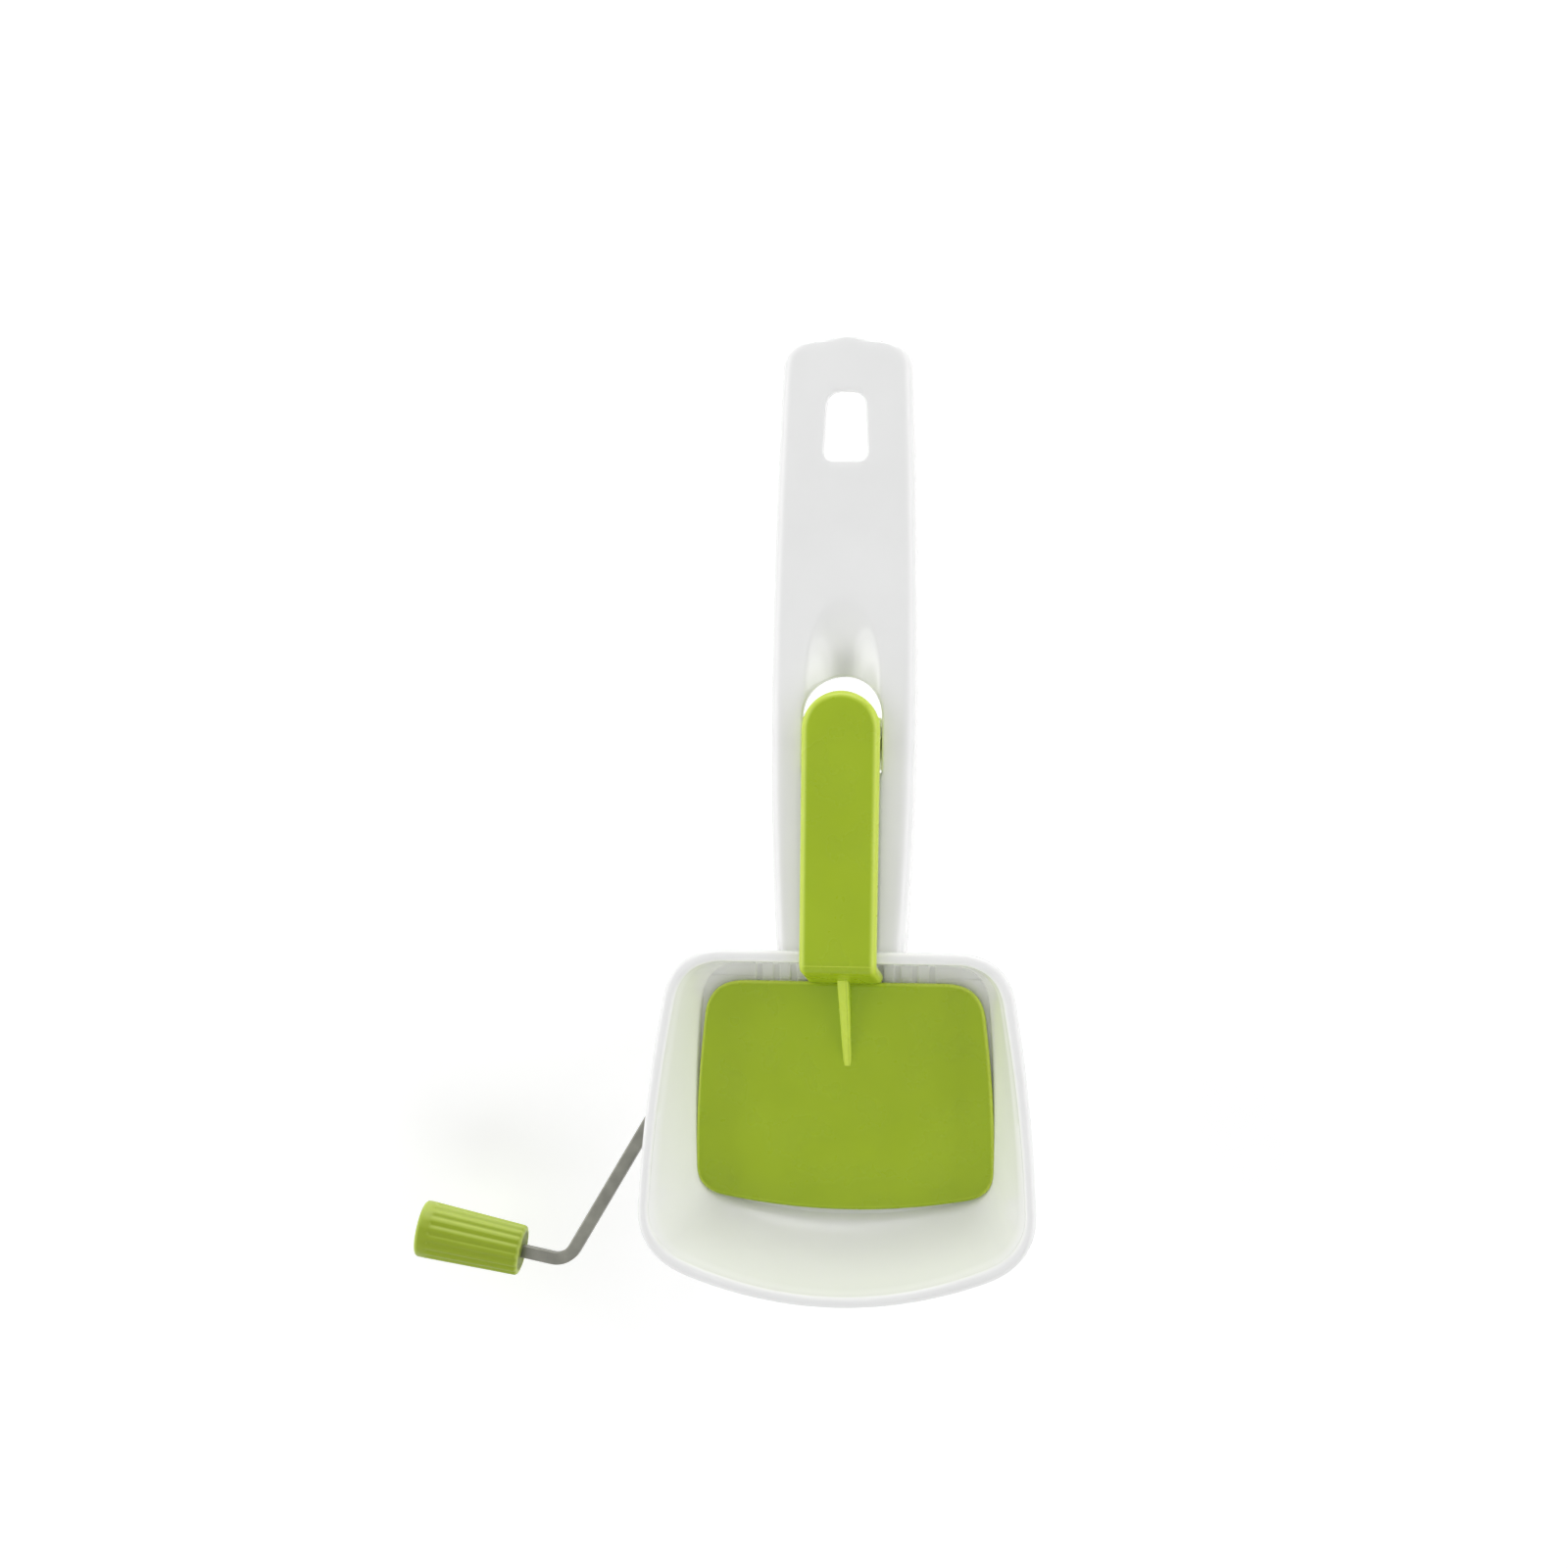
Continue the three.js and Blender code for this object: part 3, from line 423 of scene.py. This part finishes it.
def drawHandle(bm, fromY, margin, drop):
    s = handleSizes
    cornerStart = s["tip"] - s["tipBow"] - s["tipCorner"]
    radius = s["tipCorner"] - margin
    fineFrom, fineStep, coarseFrom = s["fine"]  # closer rings over the scoop
    stops = [fromY + (fineFrom - fromY) * i / 24 for i in range(24)] + [fineFrom + fineStep * i for i in range(41)]
    stops += [coarseFrom + (cornerStart - coarseFrom) * i / 24 for i in range(25)]
    rings = []
    for y in stops:
        rings.append((y, handleHalf(y)))
    half = handleHalf(cornerStart)
    for step in range(1, 11):
        angle = step / 10 * math.pi / 2
        rings.append((cornerStart + radius * math.sin(angle), half - radius * (1 - math.cos(angle))))
    for share in (0.85, 0.7, 0.55, 0.4):
        rings.append((s["tip"] - margin - s["tipBow"] * share ** 2, margin + (half - s["tipCorner"]) * share))

    def depthAt(y):
        return s["rootDepth"] + (s["tipDepth"] - s["rootDepth"]) * (y - s["root"]) / (s["tip"] - s["root"])

    loft(bm, [handleSection(y, half - margin, margin, s["top"] - depthAt(y) - drop) for y, half in rings])


def handleTopAt(x, y):
    s = handleSizes
    topHalf = handleHalf(y) - s["draft"]
    slope = 2 * s["crown"] / (topHalf + s["edge"])
    peak = s["top"] - s["crown"] + slope * topHalf
    u = x / (topHalf - s["edge"])
    edgeZ = s["top"] - s["crown"] + slope * s["edge"]
    crown = peak - (peak - edgeZ) * (1 + u * u) / 2 if abs(u) < 1 else edgeZ
    return crown - scoopDip(x, y)


def grownOutline(points, margin):  # outline pushed outwards by a margin; the points run anticlockwise
    grown = []
    for before, here, after in zip(points[-1:] + points[:-1], points, points[1:] + points[:1]):
        way = (after - before).normalized()
        grown.append(here + Vector((way.y, -way.x)) * margin)
    return grown


def drawOpening(bm, outline, radius):  # cutter through the handle's top that leaves a rounded edge
    rings = [[(p.x, p.y, 0) for p in outline]]
    for angle in (0, 18, 36, 54, 70):
        a = math.radians(angle)
        grown = grownOutline(outline, radius * (1 - math.cos(a)))
        rings.append([(p.x, p.y, handleTopAt(p.x, p.y) - radius * (1 - math.sin(a))) for p in grown])
    last = grownOutline(outline, radius * 0.658 + 1.2)
    rings.append([(p.x, p.y, handleTopAt(p.x, p.y) + 0.42) for p in last])
    rings.append([(p.x, p.y, 40) for p in last])
    loft(bm, rings)


def hingeSlotOutline():
    s = handleSizes
    centre = s["slotBack"] - s["slotHalf"]
    half = s["slotHalf"]
    points = straight((-half, s["slotFront"]), (half, s["slotFront"]), 16)
    points += straight((half, s["slotFront"]), (half, centre), 16)
    points += halfCircle(half, centre, 48)
    points += straight((-half, centre), (-half, s["slotFront"]), 16)
    return points


def drawCheek(bm, fromX, toX):
    s = troughSizes
    corners = [(-s["footFront"], s["floor"]), (s["footBack"], s["floor"]), (s["footBack"], s["railTop"]),
               (s["radius"], s["cheekTop"]), (-s["outside"], s["cheekTop"]), (-s["footFront"], s["railTop"])]
    extrudeLoop(bm, [(fromX, y, z) for y, z in corners], (toX - fromX, 0, 0))
    roundEdges(bm, bm.edges[:], s["edge"], 3)


def plateTurn():
    s = pusherSizes
    return Matrix.Translation(s["plateAt"]) @ Matrix.Rotation(math.radians(s["plateSlope"]), 4, "X")


def plateSlab(*levels):  # slab parallel to the plate, each level wider than it by a margin
    outline = flaredOutline(**pusherSizes["plate"])

    def draw(bm):
        loft(bm, [[(p.x, p.y, z) for p in grownOutline(outline, margin)] for margin, z in levels])
        bmesh.ops.transform(bm, matrix=plateTurn(), verts=bm.verts)

    return blank("slab", draw)


def buildLedge():  # shelf at the foot of the back wall and the seat round the plate's edge
    s = combSizes
    low, high = (-40, s["ledgeFront"], s["ledgeTop"] - s["ledgeThick"]), (40, 26, s["ledgeTop"])
    under = -pusherSizes["plateThick"] - s["seatGap"]
    seat = plateSlab((9, under - s["seatThick"]), (9, under))
    behind = blank("behind", lambda bm: softBlock(bm, (-60, s["ledgeFront"] + 0.4, 0), (60, 60, 40), 0.1))
    opening = plateSlab((-s["seatLap"], under - 4), (-s["seatLap"], under + 4))
    combine(seat, [opening, behind], "DIFFERENCE")
    ledge = blank("ledge", lambda bm: softBlock(bm, low, high, s["ledgeEdge"], 5))
    combine(ledge, [seat], "UNION")
    return combine(ledge, [blank("hopper", lambda bm: drawHopperOutside(bm, 0.8))], "INTERSECT")


def drawCombFloor(bm):  # light web under the slots
    s = combSizes
    reach = s["pitch"] * (s["count"] - 1) / 2 + 2
    (front, back), (low, high) = s["floorSpan"], s["floor"]
    softBlock(bm, (-reach, front, low), (reach, back, high), s["floorEdge"])


def drawCombWindow(bm, x):
    s = combSizes
    half, centre = s["window"] / 2, s["back"] - s["window"] / 2
    outline = straight((half, s["windowFront"]), (half, centre), 3) + halfCircle(half, centre, 16)
    outline += straight((-half, centre), (-half, s["windowFront"]), 3) + [Vector((-half, s["windowFront"]))]
    rings = [(0, -0.5)]
    for angle in (0, 22, 45, 68):
        a = math.radians(angle)
        rings.append((s["edge"] * (1 - math.cos(a)), s["ledgeTop"] - s["edge"] * (1 - math.sin(a))))
    rings += [(s["edge"] * 1.1, s["ledgeTop"] + 0.15), (s["edge"] * 1.1, s["ledgeTop"] + 4)]
    loft(bm, [[(x + p.x, p.y, z) for p in grownOutline(outline, margin)] for margin, z in rings])


def drawHingeBoss(bm, side):
    s = hingeSizes
    low, high = sorted((side * s["bossInner"], side * s["bossOuter"]))
    front, back = s["y"] - s["boss"], s["y"] + s["boss"]
    softBlock(bm, (low, front, s["z"] - s["boss"]), (high, back, s["bossTop"]), s["bossEdge"])


def buildBody():
    h, t, c, g = handleSizes, troughSizes, combSizes, hingeSizes
    handle = blank("handle", lambda bm: drawHandle(bm, h["root"], 0, 0))
    hollow = blank("handle hollow", lambda bm: drawHandle(bm, h["root"] + h["wall"], h["wall"], h["wall"]))
    combine(handle, [hollow], "DIFFERENCE")
    joins = [handle]
    joins += [blank("hinge boss", lambda bm, side=side: drawHingeBoss(bm, side)) for side in (-1, 1)]
    joins.append(blank("trough", lambda bm: rodAlongX(bm, t["outside"], -t["cheekHalf"], t["cheekHalf"])))
    joins.append(blank("boss", lambda bm: rodAlongX(bm, t["bossRadius"], -t["bossHalf"], t["bossHalf"])))
    for low, high in ((-t["cheekHalf"], -t["half"]), (t["half"], t["cheekHalf"])):
        joins.append(blank("cheek", lambda bm, low=low, high=high: drawCheek(bm, low, high)))
    for y in (-t["footFront"], t["footBack"] - t["rail"]):
        joins.append(blank("rail", lambda bm, y=y: softBlock(
            bm, (-t["cheekHalf"], y, t["floor"]), (t["cheekHalf"], y + t["rail"], t["railTop"]), t["edge"])))
    body = combine(blank("mill_body", drawHopperOutside), joins, "UNION")
    combine(body, [blank("funnel", drawHopperInside)], "DIFFERENCE")
    combine(body, [buildLedge()], "UNION")
    cuts = [blank("trough hollow", lambda bm: rodAlongX(bm, t["radius"], -t["half"], t["half"]))]
    cuts.append(blank("rotor bore", lambda bm: rodAlongX(bm, t["bore"], -40, 40)))
    for i in range(c["count"]):
        x = (i - (c["count"] - 1) / 2) * c["pitch"]
        low, high = x - c["width"] / 2, x + c["width"] / 2
        cuts.append(blank("comb slot", lambda bm, low=low, high=high: rodAlongX(bm, c["radius"], low, high)))
        cuts.append(blank("comb window", lambda bm, x=x: drawCombWindow(bm, x)))
    cuts.append(blank("hinge slot", lambda bm: drawOpening(bm, hingeSlotOutline(), h["slotRound"])))
    hangOutline = flaredOutline(**h["hang"])
    cuts.append(blank("hang hole", lambda bm: drawOpening(bm, hangOutline, h["hangRound"])))
    cuts.append(blank("pin bore", lambda bm: rodAlongX(
        bm, g["bore"], -g["boreHalf"], g["boreHalf"], g["y"], g["z"], 48)))
    combine(body, cuts, "DIFFERENCE")
    combine(body, [blank("comb floor", drawCombFloor)], "UNION")
    return finishPiece(body, "frame", ["body"], whiteGloss)


buildBody()


# pusher: bent arm, plate, web and hinge ears

def drawArm(bm):  # a flat strip with rounded edges, bent down at the knee
    s = pusherSizes
    half, knee, bend = s["tailHalf"], s["knee"], math.radians(90 - s["lean"])
    kneeZ = s["bottom"] + s["thick"] - knee
    legTop = kneeZ + knee * math.cos(bend)
    kneeY = s["legFront"] + knee * math.sin(bend) + (legTop - s["legFoot"]) / math.tan(bend)
    bendStart, bendLength = s["tail"] - kneeY, knee * bend
    length = bendStart + bendLength + (legTop - s["legEnd"]) / math.sin(bend)
    outline = [Vector((half * math.sin(a), half - half * math.cos(a))) for a in
               [math.pi * (i / 40 - 0.5) for i in range(41)]]
    outline += [Vector((s["legHalf"], length)), Vector((-s["legHalf"], length))]
    extrudeLoop(bm, [(p.x, p.y, 0) for p in outline], (0, 0, s["thick"]))
    roundEdges(bm, levelEdges(bm, s["thick"]), s["topEdge"], 6)
    roundEdges(bm, levelEdges(bm, 0), s["underEdge"], 3)
    cuts = [half * 1.3, bendStart * 0.6] + [bendStart + bendLength * i / 12 for i in range(13)]
    for cut in cuts:
        bmesh.ops.bisect_plane(bm, geom=bm.verts[:] + bm.edges[:] + bm.faces[:], plane_co=(0, cut, 0),
                               plane_no=(0, 1, 0))
    for vert in bm.verts:
        x, along, up = vert.co
        turn = min(max((along - bendStart) / knee, 0), bend)
        thin = 1 - (1 - s["legThin"]) * turn / bend
        radius = knee - (s["thick"] - up) * thin
        before, after = min(along, bendStart), max(along - bendStart - bendLength, 0)
        vert.co = (x, s["tail"] - before - radius * math.sin(turn) - after * math.cos(bend),
                   kneeZ + radius * math.cos(turn) - after * math.sin(bend))


def drawPlate(bm):
    s = pusherSizes
    extrudeLoop(bm, [(p.x, p.y, 0) for p in flaredOutline(**s["plate"])], (0, 0, -s["plateThick"]))
    for level, edge in zip((0, -s["plateThick"]), s["plateEdge"]):
        roundEdges(bm, levelEdges(bm, level), edge, 5)
    bmesh.ops.transform(bm, matrix=plateTurn(), verts=bm.verts)


def drawWeb(bm):
    s, w = pusherSizes, pusherSizes["web"]
    fall = math.tan(math.radians(s["plateSlope"]))

    def ring(y, half, top):
        low = s["plateAt"][2] - (s["plateAt"][1] - y) * fall - 1
        shift = w["tipShift"] * (w["leg"] - y) / (w["leg"] - w["tip"])
        return [(shift + x, y, z) for x, z in ((-half, low), (half, low), (half, top), (-half, top))]

    tipTop = s["plateAt"][2] - (s["plateAt"][1] - w["tip"]) * fall
    loft(bm, [ring(w["leg"], w["legHalf"], w["top"]), ring(w["tip"], w["tipHalf"], tipTop + 0.15)])
    lengthwise = [e for e in bm.edges if abs(e.verts[0].co.y - e.verts[1].co.y) > 1]
    roundEdges(bm, [e for e in lengthwise if min(v.co.z for v in e.verts) > tipTop], w["edge"], 3)


def drawEar(bm, side):
    s, h = pusherSizes, hingeSizes
    low, high = sorted(side * x for x in s["ear"])
    top, half = s["bottom"] + s["thick"] / 2, s["earHalf"]
    outline = [(h["y"] + half, top), (h["y"] - half, top)]
    for angle in [math.pi * i / 24 for i in range(25)]:
        outline.append((h["y"] - half * math.cos(angle), h["z"] - s["earDrop"] * math.sin(angle)))
    extrudeLoop(bm, [(low, y, z) for y, z in outline], (high - low, 0, 0))
    roundEdges(bm, [e for e in bm.edges if abs(e.verts[0].co.x - e.verts[1].co.x) < 1e-5], s["earEdge"], 2)


def buildPusher():
    h = hingeSizes
    pusher = blank("pusher_lever", drawArm)
    joins = [blank("plate", drawPlate), blank("web", drawWeb)]
    joins += [blank("ear", lambda bm, side=side: drawEar(bm, side)) for side in (-1, 1)]
    combine(pusher, joins, "UNION")
    combine(pusher, [blank("bore", lambda bm: rodAlongX(bm, h["bore"], -12, 12, h["y"], h["z"], 48))], "DIFFERENCE")
    return finishPiece(pusher, "pusher", ["pusher"], limeSatin)


buildPusher()


# crank: bent square bar and ribbed knob

crankSizes = dict(side=3, corner=0.38, end=35.8, bend=5, firstCorner=36.35, slant=30, arm=62.5, knobTilt=11, stand=11,
                  reach=32.1, swage=(5, 2), swageLength=1.6, swageTaper=0.8, bendSteps=16)
knobSizes = dict(length=25.2, innerRadius=6.1, outerRadius=6.8, edge=1, collar=2.8, flutes=18, fluteDepth=0.34,
                 around=10, bore=2.42, boreDepth=14, recess=0.9, recessRadius=4.5)


def crankPath():
    s = crankSizes
    slant, tilt = math.radians(s["slant"]), math.radians(s["knobTilt"])
    ways = [Vector((-1, 0)), Vector((-math.sin(slant), -math.cos(slant))), Vector((-math.cos(tilt), math.sin(tilt)))]
    first = Vector((-s["firstCorner"], 0))
    return ways, [first, first + ways[1] * s["arm"]]


def barRing(point, way, size):
    across = Vector((-way.y, way.x))
    w, t, r = size[0] / 2, size[1] / 2, crankSizes["corner"]
    ring = []
    for sx, sz, start in ((1, -1, -90), (1, 1, 0), (-1, 1, 90), (-1, -1, 180)):
        for step in range(5):
            a = math.radians(start + 90 * step / 4)
            side = point + across * (sx * (w - r) + r * math.cos(a))
            ring.append((side.x, side.y, sz * (t - r) + r * math.sin(a)))
    return ring


def drawBar(bm):
    s = crankSizes
    square = (s["side"], s["side"])
    ways, corners = crankPath()
    rings = [barRing(Vector((s["end"], 0)), ways[0], square)]
    for corner, before, after in zip(corners, ways, ways[1:]):
        turn = math.atan2(before.cross(after), before.dot(after))
        across = Vector((-before.y, before.x)) * (1 if turn > 0 else -1)
        start = corner - before * s["bend"] * math.tan(abs(turn) / 2)
        for step in range(s["bendSteps"] + 1):
            a = abs(turn) * step / s["bendSteps"]
            point = start + before * s["bend"] * math.sin(a) + across * s["bend"] * (1 - math.cos(a))
            rings.append(barRing(point, before * math.cos(a) + across * math.sin(a), square))
    for distance, size in ((s["reach"] - s["swageLength"] - s["swageTaper"], square),
                           (s["reach"] - s["swageLength"], s["swage"]), (s["reach"], s["swage"])):
        rings.append(barRing(corners[1] + ways[2] * distance, ways[2], size))
    loft(bm, rings)


def drawKnob(bm):
    s = knobSizes
    count = s["flutes"] * s["around"]

    def ring(x, radius, depth=0):
        points = []
        for i in range(count):
            a = 2 * math.pi * i / count
            reach = radius - depth * (0.5 - 0.5 * math.cos(s["flutes"] * a)) ** 1.4
            points.append((x, reach * math.cos(a), reach * math.sin(a)))
        return points

    collarAt = s["length"] - s["collar"]
    inner, outer, edge = s["innerRadius"], s["outerRadius"], s["edge"]
    rings = [ring(s["boreDepth"], s["bore"]), ring(s["recess"] + 0.25, s["bore"]), ring(s["recess"], s["bore"] + 0.25)]
    rings += [ring(s["recess"], s["recessRadius"] - 0.3), ring(s["recess"] - 0.3, s["recessRadius"])]
    rings += [ring(0.25, s["recessRadius"]), ring(0, s["recessRadius"] + 0.25)]
    for inset, drop in reversed(quarterRound(edge, 5)):
        rings.append(ring(drop, inner - inset, s["fluteDepth"] * (1 - inset / edge)))
    steps = 12
    for step in range(1, steps + 1):
        x = edge + (collarAt - 0.8 - edge) * step / steps
        rings.append(ring(x, inner + (outer - inner) * step / steps, s["fluteDepth"]))
    rings += [ring(collarAt - 0.35, outer, s["fluteDepth"] * 0.6), ring(collarAt, outer)]
    for inset, drop in quarterRound(edge, 6):
        rings.append(ring(s["length"] - drop, outer - inset))
    rings.append(ring(s["length"] + 0.05, (outer - edge) * 0.5))
    loft(bm, rings)
    ways, corners = crankPath()
    at = corners[1] + ways[2] * crankSizes["stand"]
    turn = Matrix.Rotation(math.pi - math.radians(crankSizes["knobTilt"]), 4, "Z")
    bmesh.ops.transform(bm, matrix=Matrix.Translation((at.x, at.y, 0)) @ turn, verts=bm.verts)


finishPiece(blank("bent_bar", drawBar), "rotor", ["crank_bar"], barSteel)
finishPiece(blank("ribbed_knob", drawKnob), "knob", ["crank_knob"], limeKnob, 50)


# camera, light and floor

view = dict(aim=(-12.95, 48.7, 58), tilt=7, roll=0.75, distance=900, lens=91.1)
light = dict(world=0.38, floor=0.9, glow=0.26, lamps=(
    ("left strip", (-680, 40, 300), (900, 280), 1.6),
    ("right strip", (690, 40, 320), (900, 180), 1.5),
    ("left line", (-560, 40, 520), (900, 140), 0.75),
    ("right line", (570, 40, 540), (900, 140), 0.7),
    ("front strip", (-20, -660, 590), (900, 300), 1.4),
    ("back strip", (0, 840, 260), (900, 300), 2.9)))


def setCamera():
    cam = bpy.data.cameras.new("camera")
    cam.lens = view["lens"]
    cam.sensor_width = 36
    cam.clip_start = 0.05
    ob = bpy.data.objects.new("camera", cam)
    scene.collection.objects.link(ob)
    tilt = math.radians(view["tilt"])
    away = Vector((math.sin(tilt), 0, math.cos(tilt)))
    aim = Vector(view["aim"]) * mm
    turn = Matrix.Rotation(tilt, 4, "Y") @ Matrix.Rotation(math.radians(view["roll"]), 4, "Z")
    ob.matrix_world = Matrix.Translation(aim + away * view["distance"] * mm) @ turn
    scene.camera = ob


def seenDirectly(nodes, links):  # 1 where the camera sees a thing, straight or in a reflection
    path = nodes.new("ShaderNodeLightPath")
    most = path.outputs["Is Camera Ray"]
    for name in ("Is Glossy Ray", "Is Transmission Ray"):
        most = mathNode(nodes, links, "MAXIMUM", most, path.outputs[name])
    return most


def setLight():
    world = bpy.data.worlds.new("studio")
    scene.world = world
    world.use_nodes = True
    nodes, links = world.node_tree.nodes, world.node_tree.links
    backdrop = nodes["Background"]
    level = nodes.new("ShaderNodeMapRange")
    level.inputs["To Min"].default_value = light["world"]
    level.inputs["To Max"].default_value = 1
    links.new(seenDirectly(nodes, links), level.inputs["Value"])
    links.new(level.outputs["Result"], backdrop.inputs["Strength"])
    backdrop.inputs["Color"].default_value = (1, 1, 1, 1)
    for name, at, size, power in light["lamps"]:
        lamp = bpy.data.lights.new(name, "AREA")
        lamp.shape = "RECTANGLE"
        lamp.size, lamp.size_y = (side * mm for side in size)
        lamp.energy = power
        ob = bpy.data.objects.new(name, lamp)
        scene.collection.objects.link(ob)
        ob.visible_glossy = name != "front strip"  # no bright line along the knee of the arm
        at = Vector(at) * mm
        aim = Vector((0, 20, 30)) * mm
        ob.matrix_world = Matrix.Translation(at) @ (aim - at).to_track_quat("-Z", "Y").to_matrix().to_4x4()


def setFloor():
    bm = bmesh.new()
    bmesh.ops.create_grid(bm, x_segments=4, y_segments=4, size=3)
    mesh = bpy.data.meshes.new("floor")
    bm.to_mesh(mesh)
    bm.free()
    ob = bpy.data.objects.new("floor", mesh)
    scene.collection.objects.link(ob)
    mat = bpy.data.materials.new("pale floor")
    mat.use_nodes = True
    nodes, links = mat.node_tree.nodes, mat.node_tree.links
    nodes.remove(nodes["Principled BSDF"])
    matt = nodes.new("ShaderNodeBsdfDiffuse")
    matt.inputs["Color"].default_value = (light["floor"],) * 3 + (1,)
    glow = nodes.new("ShaderNodeEmission")
    level = mathNode(nodes, links, "MULTIPLY", seenDirectly(nodes, links), light["glow"])
    links.new(level, glow.inputs["Strength"])
    both = nodes.new("ShaderNodeAddShader")
    links.new(matt.outputs[0], both.inputs[0])
    links.new(glow.outputs[0], both.inputs[1])
    links.new(both.outputs[0], nodes["Material Output"].inputs["Surface"])
    mesh.materials.append(mat)


setCamera()
setLight()
setFloor()
scene.view_settings.view_transform = "Standard"
print("camera, light and floor set")
